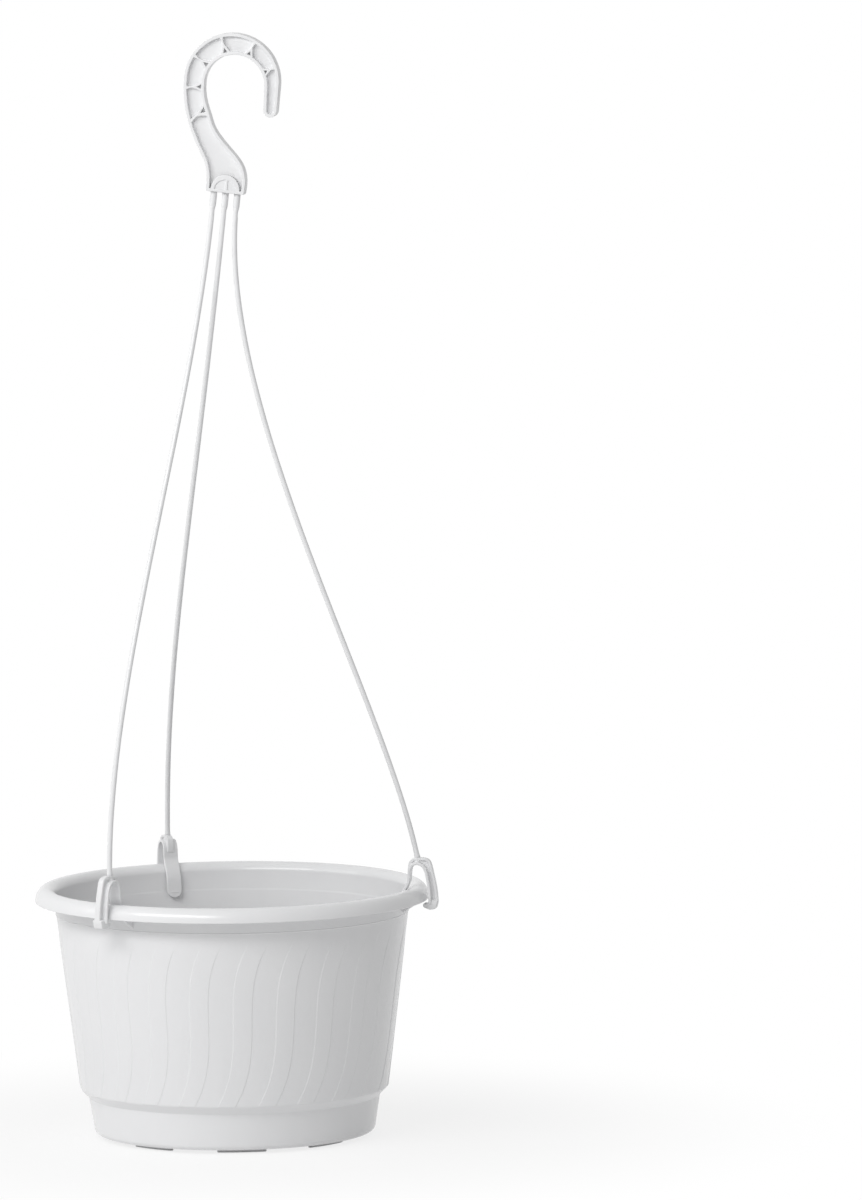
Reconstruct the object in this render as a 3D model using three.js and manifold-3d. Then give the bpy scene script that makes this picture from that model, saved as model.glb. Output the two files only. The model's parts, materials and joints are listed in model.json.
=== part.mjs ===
// Hanging basket: a moulded pot with a rolled rim, a three-strand hanger that clips over the rim,
// a hook at its top and a reservoir insert that rests on a ledge inside the pot.
// Millimetres, +Z up. The origin is on the pot's axis, in the plane of its feet. The hook's plane is XZ
// and its mouth opens to +X, where the first clip also is.
import * as THREE from "three";
import { mergeVertices } from "three/addons/utils/BufferGeometryUtils.js";
import Module from "manifold-3d";

const wasm = await Module();
wasm.setup();

// ---------------------------------------------------------------- driving dimensions

// Pot
const RIM_RADIUS = 125; // outermost edge of the rolled rim
const POT_HEIGHT = 160; // feet to the rim's crest
const WALL = 1.4; // wall of the pot
const RIM_DEPTH = 9; // crest to the lip's lower edge
const RIM_ROLL = 6.6; // crest to the lip, measured outwards
const RIM_OVERHANG = 13.3; // lip to the outside of the neck
const RIM_SHELL = 1.6; // thickness of the rolled rim
const RIM_INNER_DEPTH = 6; // crest to where the rim's inner roll meets the neck
const NECK_DEPTH = 17; // crest down to the bead that ends the neck
const BEAD = 0.5; // how far the bead stands out, and how high it is
const DRAFT = 0.126; // radius gained per millimetre of height
const SHOULDER_HEIGHT = 32; // feet to the foot of the tapered wall
const SHOULDER_STEP = 5.2; // how far the base section is set in under the wall
const SHOULDER_SLOPE = 6; // height of the sloping step
const SHOULDER_EASE = 1.8; // height of the flat that rounds the wall's foot
const LEDGE_EASE = 1.4; // flat that rounds the foot of the ledge inside
const BASE_DRAFT = 0.16; // radius gained per millimetre on the base section
const BASE_CORNER = 4; // radius of the bottom corner
const FOOT_HEIGHT = 2.4;
const FOOT_WIDTH = 4; // radial width of a foot
const FOOT_INSET = 9; // base radius to the outside of the feet
const FOOT_COUNT = 8;
const FOOT_ARC = 24; // degrees that each foot spans
const FOOT_PHASE = 13; // degrees from +X to the first foot
const LOCATOR_ANGLE = 6; // degrees from a clip's middle to the web on either side of it
const LOCATOR_THICKNESS = 1.2;
const LOCATOR_REACH = 6.5; // lip's edge down to the web's foot on the neck

// Reservoir insert
const INSERT_CLEARANCE = 0.8; // flange to the pot's wall
const SEAT_GAP = 0.3; // flange to the ledge, and foot to the pot's floor
const INSERT_FLANGE = 9; // width of the flange
const INSERT_WALL = 1.4;
const INSERT_DRAFT = 0.2; // radius lost per millimetre down the outer wall
const TROUGH_WIDTH = 11.5; // between the outer wall and the plate, at the top
const TROUGH_FLOOR = 4; // width of the ring that the trough stands on
const PLATE_RISE = 1.8; // how far the plate stands above the flange
const PLATE_CORNER = 4;
const RECESS_RADIUS = 28; // round recess in the middle of the plate
const RECESS_DEPTH = 3;
const RECESS_FLARE = 2; // how far the recess widens up to the plate
const SPRUE_RADIUS = 0.9;
const SPRUE_HEIGHT = 4;
const DRAIN_COUNT = 6;
const DRAIN_LENGTH = 8; // along the circle that the drains lie on
const DRAIN_WIDTH = 3;
const DRAIN_RADIUS_SHARE = 0.86; // of the plate's radius
const DRAIN_PHASE = 16; // degrees
const FLANGE_HOLE = 2.6; // side of the square holes in the flange
const FLANGE_HOLE_PHASE = 46; // degrees
const NOTCH_COUNT = 3;
const NOTCH_TOP = 7.5; // width of a water notch at its top
const NOTCH_FOOT = 12.5;
const NOTCH_HEIGHT = 17;
const NOTCH_SILL = 0.4; // above the trough's floor
const NOTCH_PHASE = 296; // degrees

// Clips
const CLIP_ANGLES = [0, 120, 240];
const CLIP_WIDTH = 9.5;
const CLIP_WALL_GAP = 1.9; // inner leg to the pot's wall and to the rim
const CLIP_LIP_GAP = 1.7; // outer leg to the lip, and nose to the lip's lower edge
const CLIP_SHOULDER = 3.4; // rim's crest in to the inner leg, above the rim
const CLIP_KNEE = 4; // crest down to where the inner leg starts to follow the wall
const CLIP_HEADROOM = 13.9; // rim's crest to the window's head
const CLIP_ARCH = 4.4; // thickness of the arch over the window
const CLIP_INNER_LEG = 1.6;
const CLIP_OUTER_LEG = 5.7;
const CLIP_LEG_LENGTH = 21; // crest down to the inner leg's end
const CLIP_NOSE = 4; // how far the nose reaches in from the outer leg
const CLIP_TOE = 4; // height of the nose below its upper face

// Strands and hook
const HANGER_HEIGHT = 600; // feet to the hook's base
const STRAND_RADIUS = 1.65;
const STRAND_GAP = 0.3; // between a strand's end and the piece it is moulded to
const STRAND_SEAT = 5.6; // lip's edge in to the middle of a strand's end
const STRAND_LEANS = [0.2, 0, 0]; // outward travel per millimetre of drop, where each meets its clip
const STRAND_TOP_SHARES = [0.31, 0.46, 0.34]; // share of the drop over which each leaves the hook
const STRAND_FOOT_SHARES = [0.25, 0.3, 0.3]; // share of the drop over which each turns to its clip
const STRAND_STEPS = 36;
const HOOK_SHIFT = 1.8; // hook base's middle, along X
const HOOK_LEAN = 6.4; // degrees that the hook leans to +X
const HOOK_DEPTH = 9; // of the flanges, along Y
const HOOK_WEB = 3; // thickness of the web between the flanges
const HOOK_FLANGE = 2.1; // thickness of the flanges
const HOOK_INNER_RADIUS = 19.1;
const HOOK_OUTER_RADIUS = 30.5;
const HOOK_RISE = 68.4; // base to the middle of the inner arc
const HOOK_INNER_X = -0.6; // middle of the inner arc, from the base's middle
const HOOK_OUTER_SHIFT = 2; // the outer arc's middle is this far back and up from the inner's
const HOOK_TIP_RADIUS = 4.3;
const HOOK_TIP_X = 23.7; // middle of the round tip, from the base's middle
const HOOK_TIP_DROP = 17.9; // middle of the inner arc down to the tip
const HOOK_BASE_WIDTH = 24.4;
const HOOK_BASE_BLOCK = 7; // solid height above the base
const HOOK_RIB = 1.8; // thickness of the webs across the limb
const HOOK_RIB_ANGLES = [29, 70, 111, 150, 189, 225]; // spokes of the inner arc
const HOOK_RIB_OVERRUN = 10; // how far a web's cutter runs past the limb, both ends together
const STUB_RADIUS = 2.1; // root of each strand, moulded on the hook
const STUB_LENGTH = 9;
const STUB_SPACING = 7.5;

const LATHE_SEGMENTS = 60;
const ARC_STEPS = 4;
const radians = THREE.MathUtils.degToRad;

// ---------------------------------------------------------------- radii and heights that follow

const neckZ = POT_HEIGHT - NECK_DEPTH;
const lipZ = POT_HEIGHT - RIM_DEPTH;
const neckRadius = RIM_RADIUS - RIM_OVERHANG;
const crestRadius = RIM_RADIUS - RIM_ROLL;
const wallRadius = (z) => neckRadius - DRAFT * (neckZ - z);
const baseTopZ = SHOULDER_HEIGHT - SHOULDER_SLOPE;
const baseTopRadius = wallRadius(SHOULDER_HEIGHT) - SHOULDER_STEP;
const baseRadius = baseTopRadius - BASE_DRAFT * (baseTopZ - FOOT_HEIGHT);
const floorZ = FOOT_HEIGHT + WALL;
const ledgeZ = SHOULDER_HEIGHT;
const domeZ = POT_HEIGHT - RIM_INNER_DEPTH;

// ---------------------------------------------------------------- helpers

function arc(cx, cy, rx, ry, from, to, steps = ARC_STEPS) {
  return Array.from({ length: steps + 1 }, (_, i) => {
    const a = radians(from + ((to - from) * i) / steps);
    return [cx + rx * Math.cos(a), cy + ry * Math.sin(a)];
  });
}

function toSolid(geometry) {
  const bare = new THREE.BufferGeometry();
  bare.setAttribute("position", geometry.getAttribute("position"));
  if (geometry.index) bare.setIndex(geometry.index);
  const merged = mergeVertices(bare, 1e-4);
  const corners = [];
  const index = merged.index.array;
  for (let i = 0; i < index.length; i += 3) {
    const [a, b, c] = index.slice(i, i + 3);
    if (a !== b && b !== c && c !== a) corners.push(a, b, c);
  }
  return new wasm.Manifold(
    new wasm.Mesh({
      numProp: 3,
      vertProperties: merged.getAttribute("position").array,
      triVerts: new Uint32Array(corners),
    }),
  );
}

function toMesh(name, solid, material) {
  const { vertProperties, triVerts } = solid.getMesh();
  const geometry = new THREE.BufferGeometry();
  geometry.setAttribute("position", new THREE.BufferAttribute(vertProperties, 3));
  geometry.setIndex(new THREE.BufferAttribute(triVerts, 1));
  geometry.computeVertexNormals();
  const mesh = new THREE.Mesh(geometry, material);
  mesh.name = name;
  return mesh;
}

// A solid of revolution about Z. The outline runs from the axis, out and up, and back to the axis.
function turned(outline) {
  const points = outline.map(([r, z]) => new THREE.Vector2(r, z));
  return toSolid(new THREE.LatheGeometry(points, LATHE_SEGMENTS).rotateX(Math.PI / 2));
}

// An outline in the XZ plane, made solid to the given depth about that plane.
function slab(shape, depth, curveSegments = 10) {
  const geometry = new THREE.ExtrudeGeometry(shape, { depth, curveSegments, bevelEnabled: false });
  return toSolid(geometry.translate(0, 0, -depth / 2).rotateX(Math.PI / 2));
}

function polygon(points) {
  return new THREE.Shape(points.map(([x, y]) => new THREE.Vector2(x, y)));
}

function box(width, depth, height, radius, z, angle) {
  const geometry = new THREE.BoxGeometry(width, depth, height);
  geometry.translate(radius, 0, z).rotateZ(radians(angle));
  return toSolid(geometry);
}

function circleOf(count, phase, make) {
  return Array.from({ length: count }, (_, i) => make(phase + (360 * i) / count));
}

const joined = (solids) => solids.reduce((a, b) => a.add(b));

// ---------------------------------------------------------------- pot

function potOutline() {
  const neckTop = wallRadius(domeZ) + BEAD / 2;
  const inside = (z) => wallRadius(z) - WALL;
  return [
    [0, FOOT_HEIGHT],
    ...arc(baseRadius - BASE_CORNER, FOOT_HEIGHT + BASE_CORNER, BASE_CORNER, BASE_CORNER, -90, 0),
    [baseTopRadius, baseTopZ],
    [wallRadius(SHOULDER_HEIGHT) - SHOULDER_EASE / 2, SHOULDER_HEIGHT - SHOULDER_EASE],
    [wallRadius(SHOULDER_HEIGHT), SHOULDER_HEIGHT],
    [neckRadius, neckZ - BEAD],
    [neckRadius + BEAD, neckZ],
    [neckRadius + BEAD / 2, neckZ + BEAD],
    ...arc(crestRadius, domeZ, crestRadius - neckTop, RIM_INNER_DEPTH - RIM_SHELL, 180, 90),
    ...arc(crestRadius, lipZ, RIM_ROLL - RIM_SHELL, RIM_DEPTH - RIM_SHELL, 90, 0).slice(1),
    ...arc(crestRadius, lipZ, RIM_ROLL, RIM_DEPTH, 0, 90),
    ...arc(crestRadius, domeZ, crestRadius - neckTop + WALL, RIM_INNER_DEPTH, 90, 180).slice(1),
    [inside(neckZ) + BEAD / 2, neckZ + BEAD],
    [inside(neckZ), neckZ],
    [inside(ledgeZ), ledgeZ],
    [baseTopRadius - WALL + LEDGE_EASE, ledgeZ],
    [baseTopRadius - WALL, baseTopZ + LEDGE_EASE],
    ...arc(
      baseRadius - BASE_CORNER,
      FOOT_HEIGHT + BASE_CORNER,
      BASE_CORNER - WALL,
      BASE_CORNER - WALL,
      0,
      -90,
      3,
    ),
    [0, floorZ],
  ];
}

function foot(angle) {
  const half = radians(FOOT_ARC / 2);
  const outer = baseRadius - FOOT_INSET;
  const shape = new THREE.Shape();
  shape.absarc(0, 0, outer, -half, half, false);
  shape.absarc(0, 0, outer - FOOT_WIDTH, half, -half, true);
  const height = FOOT_HEIGHT + WALL / 2;
  const geometry = new THREE.ExtrudeGeometry(shape, { depth: height, curveSegments: 5, bevelEnabled: false });
  return toSolid(geometry.rotateZ(radians(angle)));
}

// A thin web under the rolled rim that keeps a clip in its place.
function locator(angle) {
  const deep = WALL / 2;
  const web = polygon([
    [wallRadius(lipZ - LOCATOR_REACH) - deep, lipZ - LOCATOR_REACH + 1],
    [wallRadius(lipZ - LOCATOR_REACH) + BEAD / 2, lipZ - LOCATOR_REACH],
    [RIM_RADIUS - RIM_SHELL * 0.8, lipZ + 0.6],
    [RIM_RADIUS - RIM_ROLL * 0.4, lipZ + RIM_DEPTH * 0.6],
    [crestRadius, POT_HEIGHT - RIM_SHELL / 2],
    [wallRadius(domeZ) - deep, domeZ],
  ]);
  const solid = slab(web, LOCATOR_THICKNESS);
  return solid.rotate([0, 0, angle]);
}

function pot() {
  const locators = CLIP_ANGLES.flatMap((a) => [a - LOCATOR_ANGLE, a + LOCATOR_ANGLE]).map(locator);
  return joined([turned(potOutline()), ...circleOf(FOOT_COUNT, FOOT_PHASE, foot), ...locators]);
}

// ---------------------------------------------------------------- reservoir insert

const flangeZ = ledgeZ + SEAT_GAP;
const flangeTopZ = flangeZ + INSERT_WALL;
const insertFootZ = floorZ + SEAT_GAP;
const flangeRadius = wallRadius(ledgeZ) - WALL - INSERT_CLEARANCE;
const insertRadius = flangeRadius - INSERT_FLANGE;
const insertFootRadius = insertRadius - INSERT_DRAFT * (flangeZ - insertFootZ);
const plateRadius = insertRadius - INSERT_WALL - TROUGH_WIDTH;
const plateZ = flangeTopZ + PLATE_RISE;
const troughInner = insertFootRadius - INSERT_WALL - TROUGH_FLOOR;

function insertOutline() {
  const skirt = PLATE_CORNER - INSERT_WALL;
  const recessZ = plateZ - RECESS_DEPTH;
  return [
    [0, recessZ - INSERT_WALL],
    [RECESS_RADIUS + INSERT_WALL - RECESS_FLARE / 2, recessZ - INSERT_WALL],
    [RECESS_RADIUS + INSERT_WALL + RECESS_FLARE / 2, plateZ - INSERT_WALL],
    ...arc(plateRadius - PLATE_CORNER, plateZ - PLATE_CORNER, skirt, skirt, 90, 0, 3),
    [troughInner - INSERT_WALL, insertFootZ],
    [insertFootRadius, insertFootZ],
    [insertRadius, flangeZ],
    [flangeRadius, flangeZ],
    [flangeRadius, flangeTopZ],
    [insertRadius - INSERT_WALL, flangeTopZ],
    [insertFootRadius - INSERT_WALL, insertFootZ + INSERT_WALL],
    [troughInner, insertFootZ + INSERT_WALL],
    ...arc(plateRadius - PLATE_CORNER, plateZ - PLATE_CORNER, PLATE_CORNER, PLATE_CORNER, 0, 90),
    [RECESS_RADIUS + RECESS_FLARE, plateZ],
    [RECESS_RADIUS, recessZ],
    [SPRUE_RADIUS, recessZ],
    [SPRUE_RADIUS, recessZ + SPRUE_HEIGHT],
    [0, recessZ + SPRUE_HEIGHT],
  ];
}

function notch(angle) {
  const low = insertFootZ + INSERT_WALL + NOTCH_SILL;
  const shape = polygon([
    [-NOTCH_FOOT / 2, low],
    [NOTCH_FOOT / 2, low],
    [NOTCH_TOP / 2, low + NOTCH_HEIGHT],
    [-NOTCH_TOP / 2, low + NOTCH_HEIGHT],
  ]);
  const reach = INSERT_FLANGE;
  const middle = (insertRadius + insertFootRadius - INSERT_WALL) / 2;
  return slab(shape, reach).rotate([0, 0, 90]).translate([middle, 0, 0]).rotate([0, 0, angle]);
}

function insert() {
  const drainRadius = plateRadius * DRAIN_RADIUS_SHARE;
  const holeRadius = flangeRadius - INSERT_FLANGE / 2;
  const through = INSERT_WALL * 4;
  const drains = circleOf(DRAIN_COUNT, DRAIN_PHASE, (angle) =>
    box(DRAIN_WIDTH, DRAIN_LENGTH, through, drainRadius, plateZ, angle),
  );
  const holes = circleOf(DRAIN_COUNT, FLANGE_HOLE_PHASE, (angle) =>
    box(FLANGE_HOLE, FLANGE_HOLE, through, holeRadius, flangeZ, angle),
  );
  const notches = circleOf(NOTCH_COUNT, NOTCH_PHASE, notch);
  return turned(insertOutline()).subtract(joined([...drains, ...holes, ...notches]));
}

// ---------------------------------------------------------------- clips

// The clip's outline in its radial plane. It runs up the inner leg's inside, over the arch and down the
// outer leg to the nose, and comes back round the window that the rim sits in.
function clipOutline() {
  const legEnd = POT_HEIGHT - CLIP_LEG_LENGTH;
  const faceAt = (z) => wallRadius(z) - WALL - CLIP_WALL_GAP;
  const kneeZ = POT_HEIGHT - CLIP_KNEE;
  const legTop = crestRadius - CLIP_SHOULDER;
  const headZ = POT_HEIGHT + CLIP_HEADROOM;
  const archZ = headZ + CLIP_ARCH;
  const face = RIM_RADIUS + CLIP_LIP_GAP;
  const back = face + CLIP_OUTER_LEG;
  const noseZ = lipZ - CLIP_LIP_GAP;
  const inner = CLIP_INNER_LEG;
  return [
    [faceAt(legEnd) - inner, legEnd + 0.8],
    [faceAt(legEnd) - inner / 2, legEnd],
    [faceAt(legEnd), legEnd + 0.8],
    [faceAt(kneeZ), kneeZ],
    [legTop, POT_HEIGHT + 3],
    [legTop + 0.2, headZ - 5],
    [legTop + 1.4, headZ - 1.4],
    [crestRadius + 0.8, headZ],
    [RIM_RADIUS - 2.4, headZ - 1],
    [RIM_RADIUS - 0.4, headZ - 4],
    [face - 0.6, POT_HEIGHT],
    [face, noseZ + 1],
    [face - 1, noseZ],
    [face - CLIP_NOSE, noseZ],
    [face - CLIP_NOSE + 0.4, noseZ - CLIP_TOE / 2],
    [face + 0.6, noseZ - CLIP_TOE],
    [face + CLIP_OUTER_LEG / 2 + 0.6, noseZ - CLIP_TOE + 0.6],
    [back, lipZ],
    [RIM_RADIUS + 4.2, headZ - 1],
    [RIM_RADIUS + 2.4, archZ - 2],
    [RIM_RADIUS - 0.4, archZ],
    [crestRadius - 1, archZ],
    [legTop - inner + 1, archZ - 3.6],
    [legTop - inner - 0.2, headZ - 5],
    [legTop - inner - 0.2, POT_HEIGHT + 3],
    [faceAt(kneeZ) - inner, kneeZ],
  ];
}

// ---------------------------------------------------------------- hook

// The hook's outline, upright, with its base's middle at the origin, and drawn in by a distance where it
// is the edge of the recessed web between the flanges.
function hookOutline(by = 0) {
  const half = HOOK_BASE_WIDTH / 2;
  const outerX = HOOK_INNER_X - HOOK_OUTER_SHIFT;
  const outerZ = HOOK_RISE + HOOK_OUTER_SHIFT;
  const inner = HOOK_INNER_RADIUS + by;
  const outer = HOOK_OUTER_RADIUS - by;
  const left = HOOK_INNER_X - HOOK_INNER_RADIUS;
  const tipZ = HOOK_RISE - HOOK_TIP_DROP + HOOK_TIP_RADIUS;
  const drawn = (x, z, nx, nz) => [x + nx * by, z + nz * by];
  const shape = new THREE.Shape();
  const curve = (...points) => shape.bezierCurveTo(...points.flatMap((p) => drawn(...p)));
  shape.moveTo(half - by, 0);
  curve([half + 1.6, 12, -1, 0], [half - 2, 18, -0.9, -0.4], [half - 6.7, 23, -0.7, -0.7]);
  curve([half - 13.4, 30, -0.65, -0.75], [left + 9.9, 36, -0.75, -0.65], [left + 6.7, 44.5, -0.95, -0.3]);
  curve([left + 4.2, 51.5, -1, -0.2], [left, 57, -1, 0], [left, HOOK_RISE, -1, 0]);
  shape.absarc(HOOK_INNER_X, HOOK_RISE, inner, Math.PI, 0, true);
  shape.absarc(HOOK_TIP_X, tipZ, HOOK_TIP_RADIUS - by, Math.PI, 2 * Math.PI, false);
  shape.absarc(outerX, outerZ, outer, 0, Math.PI, false);
  curve([left - 13.7, 52, 1, 0.1], [left - 6.3, 36, 0.85, 0.5], [-half - 4.9, 22.2, 0.8, 0.5]);
  curve([-half - 1.2, 16, 0.9, 0.3], [-half, 12, 1, 0], [-half, 0, 1, 0]);
  return shape;
}

function hook() {
  const sideDepth = (HOOK_DEPTH - HOOK_WEB) / 2;
  const recess = slab(hookOutline(HOOK_FLANGE), sideDepth);
  const shift = HOOK_WEB / 2 + sideDepth / 2;
  const block = box(HOOK_BASE_WIDTH * 2, HOOK_DEPTH * 2, HOOK_BASE_BLOCK * 2, 0, 0, 0);
  // Each web crosses the limb along a spoke of the inner arc.
  const reach = HOOK_OUTER_RADIUS - HOOK_INNER_RADIUS + HOOK_RIB_OVERRUN;
  const spokes = HOOK_RIB_ANGLES.map((angle) =>
    box(reach, HOOK_DEPTH * 2, HOOK_RIB, HOOK_INNER_RADIUS - HOOK_FLANGE + reach / 2, 0, 0)
      .rotate([0, -angle, 0])
      .translate([HOOK_INNER_X, 0, HOOK_RISE]),
  );
  const recesses = recess
    .translate([0, shift, 0])
    .add(recess.translate([0, -shift, 0]))
    .subtract(joined([block, ...spokes]));
  const body = slab(hookOutline(), HOOK_DEPTH).subtract(recesses);
  const stubs = [-1, 0, 1].map((side) => {
    const stub = new THREE.CylinderGeometry(STUB_RADIUS, STUB_RADIUS, STUB_LENGTH + 2, 10);
    return toSolid(stub.rotateX(Math.PI / 2).translate(side * STUB_SPACING, 0, 1 - STUB_LENGTH / 2));
  });
  return joined([body, ...stubs]);
}

// ---------------------------------------------------------------- strands

const lean = radians(HOOK_LEAN);
const hookUp = new THREE.Vector3(Math.sin(lean), 0, Math.cos(lean));
const hookAcross = new THREE.Vector3(Math.cos(lean), 0, -Math.sin(lean));
const hookBase = new THREE.Vector3(HOOK_SHIFT, 0, HANGER_HEIGHT);

// A strand leaves its stub along the hook's own axis and lands on its clip with a small outward lean.
function strand(angle, side, outward, topShare, footShare) {
  const radial = new THREE.Vector3(Math.cos(radians(angle)), Math.sin(radians(angle)), 0);
  const top = hookBase
    .clone()
    .addScaledVector(hookAcross, side * STUB_SPACING)
    .addScaledVector(hookUp, -STUB_LENGTH - STRAND_GAP);
  const clipTop = POT_HEIGHT + CLIP_HEADROOM + CLIP_ARCH;
  const tilt = STRAND_RADIUS * outward;
  const foot = radial.clone().multiplyScalar(RIM_RADIUS - STRAND_SEAT);
  foot.z = clipTop + STRAND_GAP + tilt;
  const span = top.z - foot.z;
  const arrival = radial.clone().multiplyScalar(outward);
  arrival.z = -1;
  const path = new THREE.CubicBezierCurve3(
    top,
    top.clone().addScaledVector(hookUp, -span * topShare),
    foot.clone().addScaledVector(arrival, -span * footShare),
    foot,
  );
  const section = new THREE.Shape().absarc(0, 0, STRAND_RADIUS, 0, 2 * Math.PI, false);
  return toSolid(
    new THREE.ExtrudeGeometry(section, {
      steps: STRAND_STEPS,
      curveSegments: 4,
      extrudePath: path,
      bevelEnabled: false,
    }),
  );
}

// ---------------------------------------------------------------- assembly

const white = () => new THREE.MeshStandardMaterial({ color: 0xf2f3f5, roughness: 0.34, metalness: 0 });
const black = () => new THREE.MeshStandardMaterial({ color: 0x1c1a1b, roughness: 0.3, metalness: 0 });

const basket = new THREE.Group();
basket.add(toMesh("pot", pot(), white()));
basket.add(toMesh("water_insert", insert(), black()));

const hanger = new THREE.Group();
basket.add(hanger);

const hookMesh = toMesh("hook", hook(), white());
hookMesh.position.copy(hookBase);
hookMesh.rotation.y = lean;
hanger.add(hookMesh);

const strandSides = [1, 0, -1];
CLIP_ANGLES.forEach((angle, i) => {
  const clip = toMesh(`clip_${i + 1}`, slab(polygon(clipOutline()), CLIP_WIDTH), white());
  clip.rotation.z = radians(angle);
  hanger.add(clip);
  const run = strand(angle, strandSides[i], STRAND_LEANS[i], STRAND_TOP_SHARES[i], STRAND_FOOT_SHARES[i]);
  hanger.add(toMesh(`strand_${i + 1}`, run, white()));
});

export default basket;
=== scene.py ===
"""A hanging basket: a white moulded pot with a swirled wall, its black reservoir insert, and a hanger of
three drawn strands between a flanged hook and three clips. Shapes are worked out in millimetres and
become metres when a mesh is made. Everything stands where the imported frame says."""

import json
import math

import bmesh
import bpy
from mathutils import Matrix, Vector


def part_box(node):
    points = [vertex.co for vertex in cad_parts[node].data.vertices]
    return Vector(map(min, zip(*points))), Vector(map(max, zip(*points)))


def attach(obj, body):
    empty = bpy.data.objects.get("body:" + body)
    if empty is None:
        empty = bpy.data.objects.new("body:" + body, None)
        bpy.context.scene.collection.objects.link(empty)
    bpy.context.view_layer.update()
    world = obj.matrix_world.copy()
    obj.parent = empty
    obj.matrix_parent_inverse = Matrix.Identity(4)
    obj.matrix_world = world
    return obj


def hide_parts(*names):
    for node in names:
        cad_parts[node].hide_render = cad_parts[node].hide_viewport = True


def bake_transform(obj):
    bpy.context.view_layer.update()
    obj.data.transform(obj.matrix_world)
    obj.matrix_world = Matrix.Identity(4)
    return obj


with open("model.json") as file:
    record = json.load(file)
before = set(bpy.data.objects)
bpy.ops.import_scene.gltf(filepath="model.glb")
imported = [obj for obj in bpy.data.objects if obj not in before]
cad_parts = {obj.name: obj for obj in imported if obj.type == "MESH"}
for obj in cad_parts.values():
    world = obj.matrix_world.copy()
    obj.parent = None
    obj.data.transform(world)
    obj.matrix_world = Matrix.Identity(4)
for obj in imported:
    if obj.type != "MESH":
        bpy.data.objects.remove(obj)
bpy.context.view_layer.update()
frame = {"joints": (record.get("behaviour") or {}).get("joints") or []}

# ------------------------------------------------------------------ sizes, in millimetres

METRE = 1000.0

# The camera's image covers this much at the distance of the pot's axis.
IMAGE_HEIGHT = 759.5
CAMERA_DISTANCE = 8000.0
CAMERA_AZIMUTH = 9.0
CAMERA_ELEVATION = 6.0
CAMERA_ROLL = 0.65
AXIS_TO_IMAGE_CENTRE = 128.3
IMAGE_CENTRE_HEIGHT = 340.0
SENSOR = 24.0

# Pot
WALL = 1.4
DRAFT = 0.126
RIM_ROLL = 6.6
RIM_DEPTH = 9.0
RIM_OVERHANG = 13.3
RIM_SHELL = 1.6
RIM_INNER_DEPTH = 6.0
NECK_DEPTH = 17.0
BEAD = 0.5
SHOULDER_HEIGHT = 32.0
SHOULDER_STEP = 5.2
SHOULDER_SLOPE = 6.0
SHOULDER_ROUND = 3.0
BASE_DRAFT = 0.16
BASE_CORNER = 4.0
FOOT_HEIGHT = 2.4
FOOT_WIDTH = 4.0
FOOT_INSET = 9.0
FOOT_COUNT = 8
FOOT_ARC = 20.0
FOOT_PHASE = 13.0
LOCATOR_ANGLE = 6.0
LOCATOR_THICKNESS = 1.2
LOCATOR_REACH = 6.5

# Swirl on the pot's wall: raised bands that lean one way below the middle and come back above it
BAND_COUNT = 24
BAND_SHARE = 6.5 / 15.0
BAND_PHASE = -80.3
BAND_RELIEF = 0.28
BAND_EDGE = 0.2
BAND_SUPPORT = 2.5
BAND_TWIST = 4e-5
BAND_MIDDLE = 85.0
BAND_FOOT = 30.9
BAND_HEAD = 137.0
BAND_FADE = 12.0

# Reservoir insert
INSERT_CLEARANCE = 0.8
SEAT_GAP = 0.3
INSERT_FLANGE = 9.0
INSERT_WALL = 1.4
INSERT_DRAFT = 0.2
TROUGH_WIDTH = 11.5
TROUGH_FLOOR = 4.0
PLATE_RISE = 1.8
PLATE_CORNER = 4.0
RECESS_RADIUS = 28.0
RECESS_DEPTH = 3.0
RECESS_FLARE = 2.0
RECESS_RINGS = (9.0, 17.0)
RING_REACH = 0.8
RING_HEIGHT = 0.4
SPRUE_RADIUS = 0.9
SPRUE_HEIGHT = 4.0
DRAIN_COUNT = 6
DRAIN_LENGTH = 8.0
DRAIN_WIDTH = 3.0
DRAIN_RADIUS_SHARE = 0.86
DRAIN_PHASE = 16.0
FLANGE_HOLE = 2.6
FLANGE_HOLE_PHASE = 46.0
NOTCH_COUNT = 3
NOTCH_TOP = 7.5
NOTCH_FOOT = 12.5
NOTCH_HEIGHT = 17.0
NOTCH_PHASE = 296.0
NOTCH_SILL = 0.4

# Clips
CLIP_ANGLES = (0.0, 120.0, 240.0)
CLIP_WIDTH = 9.5
CLIP_WALL_GAP = 1.9
CLIP_LIP_GAP = 1.7
CLIP_SHOULDER = 3.4
CLIP_KNEE = 4.0
CLIP_HEADROOM = 13.9
CLIP_ARCH = 4.4
CLIP_PLATE = 1.7
CLIP_RIB = 1.7
CLIP_RIB_WIDTH = 4.2
CLIP_WEB = 1.8
CLIP_OUTER_LEG = 5.7
CLIP_LEG_LENGTH = 21.0
CLIP_NOSE = 4.0
CLIP_NOSE_WIDTH = 7.0
CLIP_TOE = 4.0
CLIP_GRAIN = 0.27
CLIP_PASSES = 4

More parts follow.
